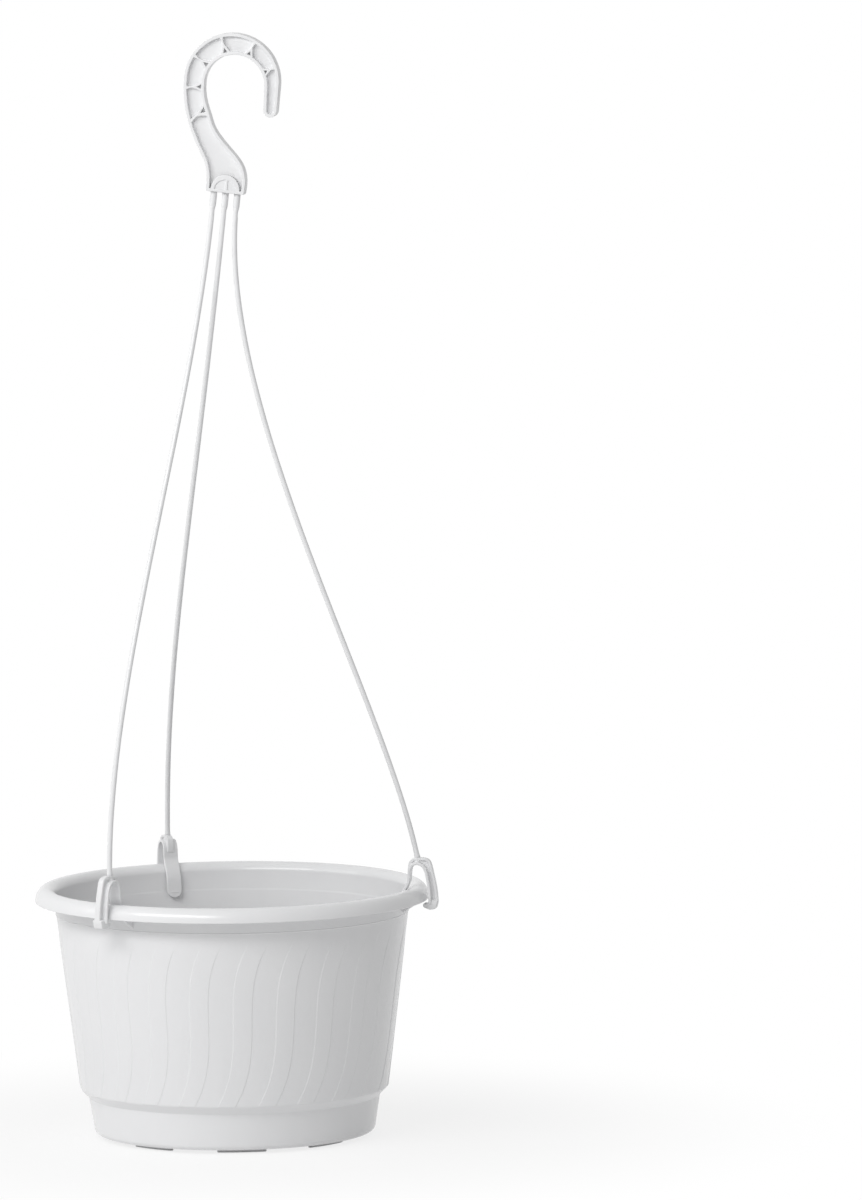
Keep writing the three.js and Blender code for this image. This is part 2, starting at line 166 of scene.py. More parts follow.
# Strands and hook
STRAND_RADIUS = 1.65
STRAND_GAP = 0.3
STRAND_SEAT = 5.6
STRAND_LEANS = (0.2, 0.0, 0.0)
STRAND_TOP_SHARES = (0.31, 0.46, 0.34)
STRAND_FOOT_SHARES = (0.25, 0.3, 0.3)
STRAND_SIDES = (1, 0, -1)
STRAND_STEPS = 220
STRAND_FACETS = 18
HOOK_DEPTH = 9.0
HOOK_WEB = 2.2
HOOK_FLANGE = 2.1
HOOK_INNER_RADIUS = 19.1
HOOK_OUTER_RADIUS = 30.5
HOOK_RISE = 68.4
HOOK_INNER_X = -0.6
HOOK_OUTER_SHIFT = 2.0
HOOK_TIP_RADIUS = 4.3
HOOK_TIP_X = 23.7
HOOK_TIP_DROP = 17.9
HOOK_BASE_WIDTH = 24.4
HOOK_GUSSET = 1.1
HOOK_GUSSET_SPREAD = 11.0
HOOK_GUSSET_POCKET = 5.0
HOOK_GUSSET_ANGLES = (29.0, 70.0, 111.0, 150.0, 189.0, 225.0)
HOOK_EDGE = 0.4
STUB_RADIUS = 2.1
STUB_LENGTH = 9.0
STUB_SPACING = 7.5
STUB_ROOT = 1.0

# ------------------------------------------------------------------ sizes that the frame settles

rim_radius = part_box("pot")[1].y * METRE
pot_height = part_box("pot")[1].z * METRE
twist_joint = next(j for j in frame["joints"] if j["name"] == "hook_twist")
hook_base = Vector(twist_joint["pos_m"]) * METRE
hook_up = Vector(twist_joint["axis"]).normalized()
hook_across = Vector((hook_up.z, 0, -hook_up.x))
hook_lean = math.atan2(hook_up.x, hook_up.z)

neck_z = pot_height - NECK_DEPTH
lip_z = pot_height - RIM_DEPTH
dome_z = pot_height - RIM_INNER_DEPTH
crest_radius = rim_radius - RIM_ROLL
neck_radius = rim_radius - RIM_OVERHANG
floor_z = FOOT_HEIGHT + WALL
clip_head_z = pot_height + CLIP_HEADROOM
clip_top_z = clip_head_z + CLIP_ARCH


def wall_radius(z):
    return neck_radius - DRAFT * (neck_z - z)


base_top_z = SHOULDER_HEIGHT - SHOULDER_SLOPE
base_top_radius = wall_radius(SHOULDER_HEIGHT) - SHOULDER_STEP
base_radius = base_top_radius - BASE_DRAFT * (base_top_z - FOOT_HEIGHT)


# ------------------------------------------------------------------ outlines


def arc(cx, cy, rx, ry, start, end, steps=12):
    """Points along an ellipse's arc, between two angles in degrees."""
    turns = [math.radians(start + (end - start) * k / steps) for k in range(steps + 1)]
    return [Vector((cx + rx * math.cos(a), cy + ry * math.sin(a))) for a in turns]


def rounded(corners, steps=5):
    """An outline from corners (x, y, radius), each turned into an arc of its radius."""
    outline = []
    for i, (x, y, radius) in enumerate(corners):
        here = Vector((x, y))
        if radius == 0:
            outline.append(here)
            continue
        back = (Vector(corners[i - 1][:2]) - here).normalized()
        ahead = (Vector(corners[(i + 1) % len(corners)][:2]) - here).normalized()
        half = back.angle(ahead) / 2
        centre = here + (back + ahead).normalized() * radius / math.sin(half)
        first = here + back * radius / math.tan(half) - centre
        last = here + ahead * radius / math.tan(half) - centre
        start = math.atan2(first.y, first.x)
        turn = math.remainder(math.atan2(last.y, last.x) - start, math.tau)
        end = start + turn
        outline += arc(*centre, radius, radius, math.degrees(start), math.degrees(end), steps)
    return outline


def spaced(outline, longest):
    """The same outline with its long stretches divided."""
    finer = [outline[0]]
    for a, b in zip(outline, outline[1:]):
        parts = max(1, math.ceil((b - a).length / longest))
        finer += [a.lerp(b, k / parts) for k in range(1, parts + 1)]
    return finer


def bezier(start, *controls, steps=10):
    """Points after the start along a Bezier curve of as many controls as it is given."""
    made = []
    for k in range(1, steps + 1):
        level = [Vector(start), *map(Vector, controls)]
        while len(level) > 1:
            level = [a.lerp(b, k / steps) for a, b in zip(level, level[1:])]
        made.append(level[0])
    return made


# ------------------------------------------------------------------ meshes


def solid(name, points, faces):
    """A smooth object from points in millimetres."""
    mesh = bpy.data.meshes.new(name)
    mesh.from_pydata([Vector(p) / METRE for p in points], [], faces)
    mesh.polygons.foreach_set("use_smooth", [True] * len(mesh.polygons))
    mesh.update()
    made = bpy.data.objects.new(name, mesh)
    bpy.context.scene.collection.objects.link(made)
    return made


def turned(name, outline, angles):
    """A body of revolution. Its outline (r, z) leaves the axis, goes out and up, and comes back to it."""
    columns = len(angles)
    points = [(0, 0, outline[0].y)]
    for r, z in outline[1:-1]:
        points += [(r * math.cos(a), r * math.sin(a), z) for a in angles]
    points.append((0, 0, outline[-1].y))
    last = len(points) - 1
    faces = []
    for j in range(columns):
        k = (j + 1) % columns
        faces.append((0, 1 + k, 1 + j))
        for row in range(len(outline) - 3):
            low = 1 + row * columns
            high = low + columns
            faces.append((low + j, low + k, high + k, high + j))
        top = last - columns
        faces.append((top + j, top + k, last))
    return solid(name, points, faces)


def strip(inside, outside, half_widths):
    """A closed band between two lines of (x, z) points, as wide in Y as its half widths say."""
    points = []
    for a, b, w in zip(inside, outside, half_widths):
        points += [(a.x, -w, a.y), (b.x, -w, b.y), (b.x, w, b.y), (a.x, w, a.y)]
    faces = [(0, 1, 2, 3)]
    for i in range(len(inside) - 1):
        s = 4 * i
        faces += [(s + j, s + 4 + j, s + 4 + (j + 1) % 4, s + (j + 1) % 4) for j in range(4)]
    last = len(points) - 4
    faces.append((last + 3, last + 2, last + 1, last))
    return points, faces


def loop(inside, outside, half_width):
    """A closed band, as strip makes, whose ends meet."""
    points, faces = strip(inside, outside, [half_width] * len(inside))
    last = len(points) - 4
    joint = [(last + j, j, (j + 1) % 4, last + (j + 1) % 4) for j in range(4)]
    return points, faces[1:-1] + joint


def plate(outline, half_width):
    """A flat closed piece with an outline in the XZ plane."""
    count = len(outline)
    points = [(p.x, -half_width, p.y) for p in outline] + [(p.x, half_width, p.y) for p in outline]
    sides = [(i, (i + 1) % count, count + (i + 1) % count, count + i) for i in range(count)]
    return points, [tuple(range(count)), tuple(reversed(range(count, 2 * count))), *sides]


def rod(radius, low, high, x=0.0, facets=24):
    """A closed upright cylinder."""
    angles = [math.tau * k / facets for k in range(facets)]
    ring = [(x + radius * math.cos(a), radius * math.sin(a)) for a in angles]
    points = [(px, py, low) for px, py in ring] + [(px, py, high) for px, py in ring]
    sides = [(i, (i + 1) % facets, facets + (i + 1) % facets, facets + i) for i in range(facets)]
    ends = [tuple(reversed(range(facets))), tuple(range(facets, 2 * facets))]
    return points, ends + sides


def along(path, thickness, side=0.0):
    """Two lines that run beside a path (x, z), for a band of a thickness. Side moves it off the path."""
    first, second = [], []
    for i, here in enumerate(path):
        ahead = path[min(i + 1, len(path) - 1)] - path[max(i - 1, 0)]
        out = Vector((ahead.y, -ahead.x)).normalized()
        first.append(here + out * (side - thickness / 2))
        second.append(here + out * (side + thickness / 2))
    return first, second


def finished(made):
    """Applies the object's modifiers, so that its mesh is plain."""
    graph = bpy.context.evaluated_depsgraph_get()
    mesh = bpy.data.meshes.new_from_object(made.evaluated_get(graph), depsgraph=graph)
    made.modifiers.clear()
    made.data = mesh
    return made


def facing_out(made):
    work = bmesh.new()
    work.from_mesh(made.data)
    bmesh.ops.recalc_face_normals(work, faces=work.faces)
    work.to_mesh(made.data)
    work.free()
    return made


def gathered(shells, scale):
    """The points and faces of several closed shells, as one list of each."""
    points, faces = [], []
    for shell_points, shell_faces in shells:
        start = len(points)
        points += [Vector(p) * scale for p in shell_points]
        faces += [tuple(start + i for i in face) for face in shell_faces]
    return points, faces


def fused(name, shells, grain, passes, place, tree, material):
    """One moulded skin round closed shells that overlap, with soft edges, put in its place."""
    points, faces = gathered(shells, METRE)
    made = shaped(facing_out(solid(name, points, faces)), tree, {"Material": material})
    skin = made.modifiers.new("skin", "REMESH")
    skin.mode = "VOXEL"
    skin.voxel_size = grain
    skin.use_smooth_shade = True
    ease = made.modifiers.new("ease", "SMOOTH")
    ease.factor = 0.5
    ease.iterations = passes
    finished(made)
    made.data.materials.clear()
    made.data.materials.append(material)
    made.data.transform(place @ Matrix.Scale(1 / METRE, 4))
    return made


def joined(name, pieces):
    """One object from several, in order."""
    with bpy.context.temp_override(active_object=pieces[0], selected_editable_objects=pieces):
        bpy.ops.object.join()
    pieces[0].name = name
    pieces[0].data.name = name
    return pieces[0]


# ------------------------------------------------------------------ node trees


class Wire:
    """A socket that takes part in arithmetic, which adds Math nodes."""

    def __init__(self, board, socket):
        self.board = board
        self.socket = socket

    def math(self, operation, *values):
        sockets = dict(enumerate([self, *values]))
        return self.board.add("ShaderNodeMath", {"operation": operation}, sockets)

    def __add__(self, other):
        return self.math("ADD", other)

    def __sub__(self, other):
        return self.math("SUBTRACT", other)

    def __rsub__(self, other):
        return (self * -1.0) + other

    def __mul__(self, other):
        return self.math("MULTIPLY", other)

    def __truediv__(self, other):
        return self.math("DIVIDE", other)

    def __pow__(self, other):
        return self.math("POWER", other)

    __radd__ = __add__
    __rmul__ = __mul__


class Board:
    """A node tree, with the one way in which nodes are added to it."""

    def __init__(self, tree):
        self.tree = tree

    def add(self, kind, settings=None, sockets=None, output=0):
        made = self.tree.nodes.new(kind)
        for key, value in (settings or {}).items():
            if key == "stops":
                self.set_stops(made.color_ramp, value)
            else:
                setattr(made, key, value)
        for key, value in (sockets or {}).items():
            if isinstance(value, Wire):
                self.tree.links.new(value.socket, made.inputs[key])
            else:
                made.inputs[key].default_value = value
        return Wire(self, made.outputs[output]) if len(made.outputs) else made

    def set_stops(self, ramp, stops):
        while len(ramp.elements) < len(stops):
            ramp.elements.new(1.0)
        for element, (place, shade) in zip(ramp.elements, stops):
            element.position = place
            element.color = (shade, shade, shade, 1)

    def step(self, value, low, high):
        """0 below low and 1 above high, eased between them."""
        ends = {"Value": value, "From Min": low, "From Max": high}
        return self.add("ShaderNodeMapRange", {"interpolation_type": "SMOOTHSTEP"}, ends)


def shape_board(name, inputs):
    """A geometry tree with named inputs. It gives the board and a wire for each input."""
    kinds = {float: "NodeSocketFloat", int: "NodeSocketInt", "object": "NodeSocketObject"}
    tree = bpy.data.node_groups.new(name, "GeometryNodeTree")
    tree.interface.new_socket("Geometry", in_out="INPUT", socket_type="NodeSocketGeometry")
    for key, kind in inputs.items():
        tree.interface.new_socket(key, in_out="INPUT", socket_type=kinds[kind])
    tree.interface.new_socket("Material", in_out="INPUT", socket_type="NodeSocketMaterial")
    tree.interface.new_socket("Geometry", in_out="OUTPUT", socket_type="NodeSocketGeometry")
    board = Board(tree)
    source = tree.nodes.new("NodeGroupInput")
    wires = {socket.name: Wire(board, socket) for socket in source.outputs if socket.name}
    return board, wires


def close_tree(board, geometry, material):
    """Ends a geometry tree in real geometry with its material."""
    real = board.add("GeometryNodeRealizeInstances", None, {"Geometry": geometry})
    dressed = board.add("GeometryNodeSetMaterial", None, {"Geometry": real, "Material": material})
    board.add("NodeGroupOutput", None, {"Geometry": dressed})


def shaped(made, tree, values):
    """Runs a geometry tree on an object and keeps the result as its mesh."""
    modifier = made.modifiers.new(tree.name, "NODES")
    modifier.node_group = tree
    for item in tree.interface.items_tree:
        if item.in_out == "INPUT" and item.name in values:
            modifier[item.identifier] = values[item.name]
    return finished(made)


def swirl_tree():
    """Turns each height by its share of the twist and lifts the raised bands off the wall."""
    names = ("Relief", "Twist", "Middle", "Foot", "Neck", "Head", "Fade")
    board, value = shape_board("swirl", dict.fromkeys(names, float))
    place = board.add("GeometryNodeInputPosition")
    height = board.add("ShaderNodeSeparateXYZ", None, {0: place}, output=2) * METRE
    clamped = board.add("ShaderNodeClamp", None, {0: height, 1: value["Foot"], 2: value["Neck"]})
    turn = (clamped - value["Middle"]) ** 3.0 * value["Twist"] * math.radians(1.0)
    spun = board.add("ShaderNodeVectorRotate", {"rotation_type": "Z_AXIS"}, {"Vector": place, "Angle": turn})
    flat = board.add("ShaderNodeVectorMath", {"operation": "MULTIPLY"}, {0: spun, 1: (1, 1, 0)})
    out = board.add("ShaderNodeVectorMath", {"operation": "NORMALIZE"}, {0: flat})
    raised = board.add("GeometryNodeInputNamedAttribute", {"data_type": "FLOAT"}, {"Name": "raised"})
    foot = board.step(height, value["Foot"], value["Foot"] + 0.5)
    head = 1.0 - board.step(height, value["Head"] - value["Fade"], value["Head"])
    lift = raised * foot * head * value["Relief"] / METRE
    offset = board.add("ShaderNodeVectorMath", {"operation": "SCALE"}, {0: out, "Scale": lift})
    sockets = {"Geometry": value["Geometry"], "Position": spun, "Offset": offset}
    moved = board.add("GeometryNodeSetPosition", None, sockets)
    close_tree(board, moved, value["Material"])
    return board.tree


def union_tree():
    """Joins the closed shells of one mesh, so that nothing is left inside them."""
    board, value = shape_board("union", {})
    settings = {"operation": "UNION", "solver": "EXACT"}
    sockets = {1: value["Geometry"], 2: True}
    whole = board.add("GeometryNodeMeshBoolean", settings, sockets)
    close_tree(board, whole, value["Material"])
    return board.tree


def ring_tree():
    """Copies a piece round the Z axis."""
    board, value = shape_board("ring_of", {"Count": int, "Phase": float})
    points = board.add("GeometryNodePoints", None, {"Count": value["Count"]})
    index = board.add("GeometryNodeInputIndex")
    turn = index * math.tau / value["Count"] + value["Phase"] * math.radians(1.0)
    rotation = board.add("ShaderNodeCombineXYZ", None, {2: turn})
    sockets = {"Points": points, "Instance": value["Geometry"], "Rotation": rotation}
    copies = board.add("GeometryNodeInstanceOnPoints", None, sockets)
    close_tree(board, copies, value["Material"])
    return board.tree


def pierced_tree():
    """Cuts one object's shape out of a piece."""
    board, value = shape_board("pierced", {"Cutters": "object"})
    cutters = board.add("GeometryNodeObjectInfo", None, {"Object": value["Cutters"]}, output=4)
    settings = {"operation": "DIFFERENCE", "solver": "EXACT"}
    cut = board.add("GeometryNodeMeshBoolean", settings, {0: value["Geometry"], 1: cutters})
    close_tree(board, cut, value["Material"])
    return board.tree


# ------------------------------------------------------------------ finishes


class Finish(Board):
    """A moulded plastic, built up on one Principled shader."""

    def __init__(self, name, colour, roughness):
        self.material = bpy.data.materials.new(name)
        self.material.use_nodes = True
        super().__init__(self.material.node_tree)
        self.shader = self.tree.nodes["Principled BSDF"]
        self.colour = colour
        self.roughness = roughness
        self.shader.inputs["IOR"].default_value = 1.49
        self.place = self.add("ShaderNodeTexCoord", None, None, output=3)

    def noise(self, scale, detail=2.0, stretch=(1, 1, 1)):
        """Noise of so many grains to the metre, about 0.5."""
        grain = self.add("ShaderNodeMapping", None, {"Vector": self.place, "Scale": stretch})
        sockets = {"Vector": grain, "Scale": scale, "Detail": detail}
        return self.add("ShaderNodeTexNoise", {"noise_dimensions": "3D"}, sockets)

    def tinted(self, mask, other):
        """The finish's colour, going over to another where the mask is 1."""
        sockets = {0: mask, 6: (*self.colour, 1), 7: (*other, 1)}
        return self.add("ShaderNodeMix", {"data_type": "RGBA"}, sockets, output=2)

    def link(self, name, wire):
        self.tree.links.new(wire.socket, self.shader.inputs[name])

    def relief(self, height, depth):
        """Bump from a height wire, whose unit step is this many millimetres deep."""
        sockets = {"Height": height, "Distance": depth / METRE, "Strength": 1.0}
        self.link("Normal", self.add("ShaderNodeBump", None, sockets))


def pot_plastic():
    """Glossy white polypropylene, with faint flow streaks up the wall and a fine orange peel."""
    finish = Finish("pot_white", (0.88, 0.882, 0.89), 0.22)
    streaks = finish.noise(70.0, 3.0, (1, 1, 0.18))
    clouds = finish.noise(16.0, 2.0)
    shade = finish.step(streaks * 0.5 + clouds * 0.5, 0.35, 0.7)
    finish.link("Base Color", finish.tinted(shade, (0.865, 0.868, 0.878)))
    finish.link("Roughness", clouds * 0.08 + streaks * 0.05 + finish.roughness - 0.06)
    peel = finish.noise(520.0, 2.0)
    sink = finish.noise(26.0, 1.0)
    finish.relief(peel * 0.25 + sink, 0.014)
    return finish.material


def hanger_plastic():
    """Drawn white polypropylene, a little waxy, with drawing marks along the strands."""
    finish = Finish("hanger_white", (0.87, 0.872, 0.88), 0.32)
    clouds = finish.noise(90.0, 3.0)
    finish.link("Base Color", finish.tinted(finish.step(clouds, 0.35, 0.75), (0.84, 0.844, 0.852)))
    finish.link("Roughness", clouds * 0.2 + finish.roughness - 0.1)
    marks = finish.noise(300.0, 1.0, (1, 1, 0.1))
    finish.relief(marks + clouds, 0.006)
    return finish.material


def insert_plastic():
    """Glossy black polypropylene with a fine grain and a little dust on its flats."""
    finish = Finish("insert_black", (0.012, 0.011, 0.0115), 0.24)
    clouds = finish.noise(40.0, 4.0)
    dust = finish.step(clouds, 0.5, 0.8)
    finish.link("Base Color", finish.tinted(dust, (0.03, 0.03, 0.031)))
    finish.link("Roughness", clouds * 0.2 + dust * 0.1 + finish.roughness - 0.08)
    finish.relief(finish.noise(900.0, 2.0), 0.03)
    return finish.material


# ------------------------------------------------------------------ pot


def pot_outline():
    neck_top = wall_radius(dome_z) + BEAD / 2
    shell_rx = crest_radius - neck_top
    foot_r = wall_radius(SHOULDER_HEIGHT)
    slope_end = (foot_r - 0.1, base_top_z + SHOULDER_STEP)
    inner_top = foot_r - WALL
    outside = rounded(
        [
            (0, FOOT_HEIGHT, 0),
            (base_radius, FOOT_HEIGHT, BASE_CORNER),
            (base_top_radius, base_top_z, 1.2),
            (*slope_end, SHOULDER_ROUND),
            (neck_radius, neck_z - BEAD, 0.25),
            (neck_radius + BEAD, neck_z, 0.2),
            (neck_radius + BEAD / 2, neck_z + BEAD, 0.2),
            (neck_top, dome_z, 0),
        ],
        6,
    )
    under = arc(crest_radius, dome_z, shell_rx, RIM_INNER_DEPTH - RIM_SHELL, 180, 90, 10)[1:]
    under += arc(crest_radius, lip_z, RIM_ROLL - RIM_SHELL, RIM_DEPTH - RIM_SHELL, 90, 4, 12)[1:]
    lip = arc(rim_radius - RIM_SHELL / 2, lip_z + 0.5, RIM_SHELL / 2, 0.5, 180, 360, 8)
    over = arc(crest_radius, lip_z, RIM_ROLL, RIM_DEPTH, 4, 90, 20)
    over += arc(crest_radius, dome_z, shell_rx + WALL, RIM_INNER_DEPTH, 90, 180, 16)[1:]
    inside = rounded(
        [
            (neck_top - WALL, dome_z, 0),
            (wall_radius(neck_z) - WALL + BEAD / 2, neck_z + BEAD, 0.4),
            (wall_radius(neck_z) - WALL, neck_z - BEAD, 0.6),
            (inner_top, SHOULDER_HEIGHT, 0.8),
            (base_top_radius - WALL, SHOULDER_HEIGHT, 1.2),
            (base_top_radius - WALL - BASE_DRAFT * (SHOULDER_HEIGHT - floor_z), floor_z, BASE_CORNER - WALL),
            (0, floor_z, 0),
        ],
        4,
    )
    return spaced(outside, 3.2) + under + lip + over + spaced(inside, 7.0)[1:]


def band_columns():
    """Angles round the pot, close together at the edges of the raised bands, and which are raised."""
    pitch = 360.0 / BAND_COUNT
    width = pitch * BAND_SHARE
    edge = BAND_EDGE / 2
    rise = [(-edge * BAND_SUPPORT, 0.0), (-edge, 0.0), (edge, 1.0), (edge * BAND_SUPPORT, 1.0)]
    top = [(width * k / 5, 1.0) for k in range(1, 5)]
    fall = [(width - offset, lift) for offset, lift in reversed(rise)]
    hollow = [(width + (pitch - width) * k / 7, 0.0) for k in range(1, 7)]
    angles, lifts = [], []
    for band in range(BAND_COUNT):
        for offset, lift in rise + top + fall + hollow:
            angles.append(math.radians(BAND_PHASE + band * pitch + offset))
            lifts.append(lift)
    return angles, lifts


def foot_piece():
    outer = base_radius - FOOT_INSET
    middle = outer - FOOT_WIDTH / 2
    section = rounded(
        [
            (-FOOT_WIDTH / 2, FOOT_HEIGHT + WALL / 2, 0),
            (-FOOT_WIDTH / 2 + 0.2, 0, 0.6),
            (FOOT_WIDTH / 2 - 0.2, 0, 0.6),
            (FOOT_WIDTH / 2, FOOT_HEIGHT + WALL / 2, 0),
        ]
    )
    end = FOOT_WIDTH / 2 / middle
    half = math.radians(FOOT_ARC / 2)
    spread = [half * k / 6 for k in range(-6, 7)]
    tips = [half + end * s for s in (0.5, 0.8, 1.0)]
    turns = [-t for t in reversed(tips)] + spread + tips
    widths = [0.1, 0.6, 0.87] + [1.0] * len(spread) + [0.87, 0.6, 0.1]
    points, faces = [], []
    count = len(section)
    for turn, width in zip(turns, widths):
        for across, z in section:
            r = middle + across * width
            points.append((r * math.cos(turn), r * math.sin(turn), z))
    for i in range(len(turns) - 1):
        for j in range(count):
            k = (j + 1) % count
            a, b = i * count, (i + 1) * count
            faces.append((a + j, a + k, b + k, b + j))
    faces += [tuple(reversed(range(count))), tuple(range(len(points) - count, len(points)))]
    return facing_out(solid("foot", points, faces))


def locator_piece():
    """The thin web under the rolled rim that keeps a clip in its place."""
    deep = WALL / 2
    low = lip_z - LOCATOR_REACH
    outline = rounded(
        [
            (wall_radius(low) - deep, low + 1, 0),
            (wall_radius(low) + BEAD / 2, low, 0),
            (rim_radius - RIM_SHELL * 0.8, lip_z + 0.6, 0.4),
            (rim_radius - RIM_ROLL * 0.4, lip_z + RIM_DEPTH * 0.6, 0),
            (crest_radius, pot_height - RIM_SHELL / 2, 0),
            (wall_radius(dome_z) - deep, dome_z, 0),
        ]
    )
    made = facing_out(solid("locator", *plate(outline, LOCATOR_THICKNESS / 2)))
    bevel = made.modifiers.new("edges", "BEVEL")
    bevel.width = 0.3 / METRE
    bevel.segments = 2
    return finished(made)


def build_pot(material, ring):
    angles, lifts = band_columns()
    outline = pot_outline()
    body = turned("pot_shell", outline, angles)
    top_row = max(range(len(outline)), key=lambda i: outline[i].y)
    raised = body.data.attributes.new("raised", "FLOAT", "POINT")
    outer = [lift for row in outline[1:-1] for lift in lifts]
    flags = [value if i // len(lifts) < top_row else 0.0 for i, value in enumerate(outer)]
    raised.data.foreach_set("value", [0.0, *flags, 0.0])
    swirl = {
        "Relief": BAND_RELIEF,
        "Twist": BAND_TWIST,
        "Middle": BAND_MIDDLE,
        "Foot": BAND_FOOT,
        "Neck": neck_z - 2 * BEAD,
        "Head": BAND_HEAD,
        "Fade": BAND_FADE,
        "Material": material,
    }
    shaped(body, swirl_tree(), swirl)
    feet = shaped(foot_piece(), ring, {"Count": FOOT_COUNT, "Phase": FOOT_PHASE, "Material": material})
    webs = []
    for offset in (-LOCATOR_ANGLE, LOCATOR_ANGLE):
        values = {"Count": len(CLIP_ANGLES), "Phase": offset, "Material": material}
        webs.append(shaped(locator_piece(), ring, values))
    return joined("pot_body", [body, feet, *webs])


# ------------------------------------------------------------------ reservoir insert

insert_flange_z = SHOULDER_HEIGHT + SEAT_GAP
insert_flange_top = insert_flange_z + INSERT_WALL
insert_foot_z = floor_z + SEAT_GAP
insert_flange_radius = wall_radius(SHOULDER_HEIGHT) - WALL - INSERT_CLEARANCE
insert_radius = insert_flange_radius - INSERT_FLANGE
insert_foot_radius = insert_radius - INSERT_DRAFT * (insert_flange_z - insert_foot_z)
insert_plate_radius = insert_radius - INSERT_WALL - TROUGH_WIDTH
insert_plate_z = insert_flange_top + PLATE_RISE
trough_inner = insert_foot_radius - INSERT_WALL - TROUGH_FLOOR


def insert_outline():
    recess_z = insert_plate_z - RECESS_DEPTH
    corners = [
        (0, recess_z - INSERT_WALL, 0),
        (RECESS_RADIUS + INSERT_WALL - RECESS_FLARE / 2, recess_z - INSERT_WALL, 1.0),
        (RECESS_RADIUS + INSERT_WALL + RECESS_FLARE / 2, insert_plate_z - INSERT_WALL, 1.0),
        (insert_plate_radius - INSERT_WALL, insert_plate_z - INSERT_WALL, PLATE_CORNER - INSERT_WALL),
        (trough_inner - INSERT_WALL, insert_foot_z, 0.6),
        (insert_foot_radius, insert_foot_z, 1.2),
        (insert_radius, insert_flange_z, 0.6),
        (insert_flange_radius, insert_flange_z, 0.4),
        (insert_flange_radius, insert_flange_top, 0.5),
        (insert_radius - INSERT_WALL, insert_flange_top, 0.8),
        (insert_foot_radius - INSERT_WALL, insert_foot_z + INSERT_WALL, 0.8),
        (trough_inner, insert_foot_z + INSERT_WALL, 0.8),
        (insert_plate_radius, insert_plate_z, PLATE_CORNER),
        (RECESS_RADIUS + RECESS_FLARE, insert_plate_z, 0.8),
        (RECESS_RADIUS, recess_z, 0.8),
    ]
    for radius in reversed(RECESS_RINGS):
        corners += [
            (radius + RING_REACH, recess_z, 0.3),
            (radius, recess_z + RING_HEIGHT, 0.3),
            (radius - RING_REACH, recess_z, 0.3),
        ]
    corners += [
        (SPRUE_RADIUS + 0.3, recess_z, 0.3),
        (SPRUE_RADIUS, recess_z + SPRUE_HEIGHT, 0.4),
        (0, recess_z + SPRUE_HEIGHT, 0),
    ]
    return spaced(rounded(corners, 5), 6.0)


def block(name, width, depth, height, radius, z):
    """A closed box whose middle is at a radius on the X axis."""
    sides = [(-1, -1), (1, -1), (1, 1), (-1, 1)]
    flat = [Vector((radius + x * width / 2, z + y * height / 2)) for x, y in sides]
    return facing_out(solid(name, *plate(flat, depth / 2)))


def notch_piece():
    low = insert_foot_z + INSERT_WALL + NOTCH_SILL
    middle = (insert_radius + insert_foot_radius - INSERT_WALL) / 2
    corners = [
        (-NOTCH_FOOT / 2, low, 0.8),
        (NOTCH_FOOT / 2, low, 0.8),
        (NOTCH_TOP / 2, low + NOTCH_HEIGHT, 0.8),
        (-NOTCH_TOP / 2, low + NOTCH_HEIGHT, 0.8),
    ]
    made = solid("notch", *plate(rounded(corners), INSERT_FLANGE / 2))
    made.data.transform(Matrix.Translation((middle / METRE, 0, 0)) @ Matrix.Rotation(math.pi / 2, 4, "Z"))
    return facing_out(made)


def build_insert(material, ring):
    angles = [math.tau * k / 240 for k in range(240)]
    body = turned("insert_body", insert_outline(), angles)
    through = INSERT_WALL * 4
    drain_radius = insert_plate_radius * DRAIN_RADIUS_SHARE
    hole_radius = insert_flange_radius - INSERT_FLANGE / 2
    drain = block("drain", DRAIN_WIDTH, DRAIN_LENGTH, through, drain_radius, insert_plate_z)
    hole = block("hole", FLANGE_HOLE, FLANGE_HOLE, through, hole_radius, insert_flange_z)
    rings = [
        (drain, DRAIN_COUNT, DRAIN_PHASE),
        (hole, DRAIN_COUNT, FLANGE_HOLE_PHASE),
        (notch_piece(), NOTCH_COUNT, NOTCH_PHASE),
    ]
    cutters = [
        shaped(piece, ring, {"Count": count, "Phase": phase, "Material": material})
        for piece, count, phase in rings
    ]
    cutter = joined("cutters", cutters)
    shaped(body, pierced_tree(), {"Cutters": cutter, "Material": material})
    bpy.data.objects.remove(cutter)
    body.data.set_sharp_from_angle(angle=math.radians(40))
    return body


# ------------------------------------------------------------------ clips


def clip_window():
    """The line round the window that the rim sits in, up the tongue's face and down the outer leg."""
    leg_end = pot_height - CLIP_LEG_LENGTH
    knee_z = pot_height - CLIP_KNEE
    leg_top = crest_radius - CLIP_SHOULDER
    face = rim_radius + CLIP_LIP_GAP
    reach = WALL + CLIP_WALL_GAP
    tongue = [
        Vector((wall_radius(z) - reach, z)) for z in (leg_end, leg_end + CLIP_WIDTH / 2, knee_z - 6)
    ]
    over = bezier(tongue[-1], (wall_radius(knee_z) - reach, knee_z), (leg_top, pot_height + 1),
                  (leg_top, pot_height + 5), steps=14)
    head = bezier(over[-1], (leg_top + 0.2, clip_head_z - 3), (leg_top + 1, clip_head_z),
                  (crest_radius + 1, clip_head_z), steps=12)
    turn = bezier(head[-1], (rim_radius - 2, clip_head_z), (rim_radius - 0.6, clip_head_z - 3),
                  (face - 1.6, clip_head_z - 8), steps=12)
    end = (face, lip_z - CLIP_LIP_GAP)
    leg = bezier(turn[-1], (face - 0.4, pot_height), (face, lip_z + 4), end, steps=10)
    return spaced(tongue, 0.6) + over + head + turn + leg


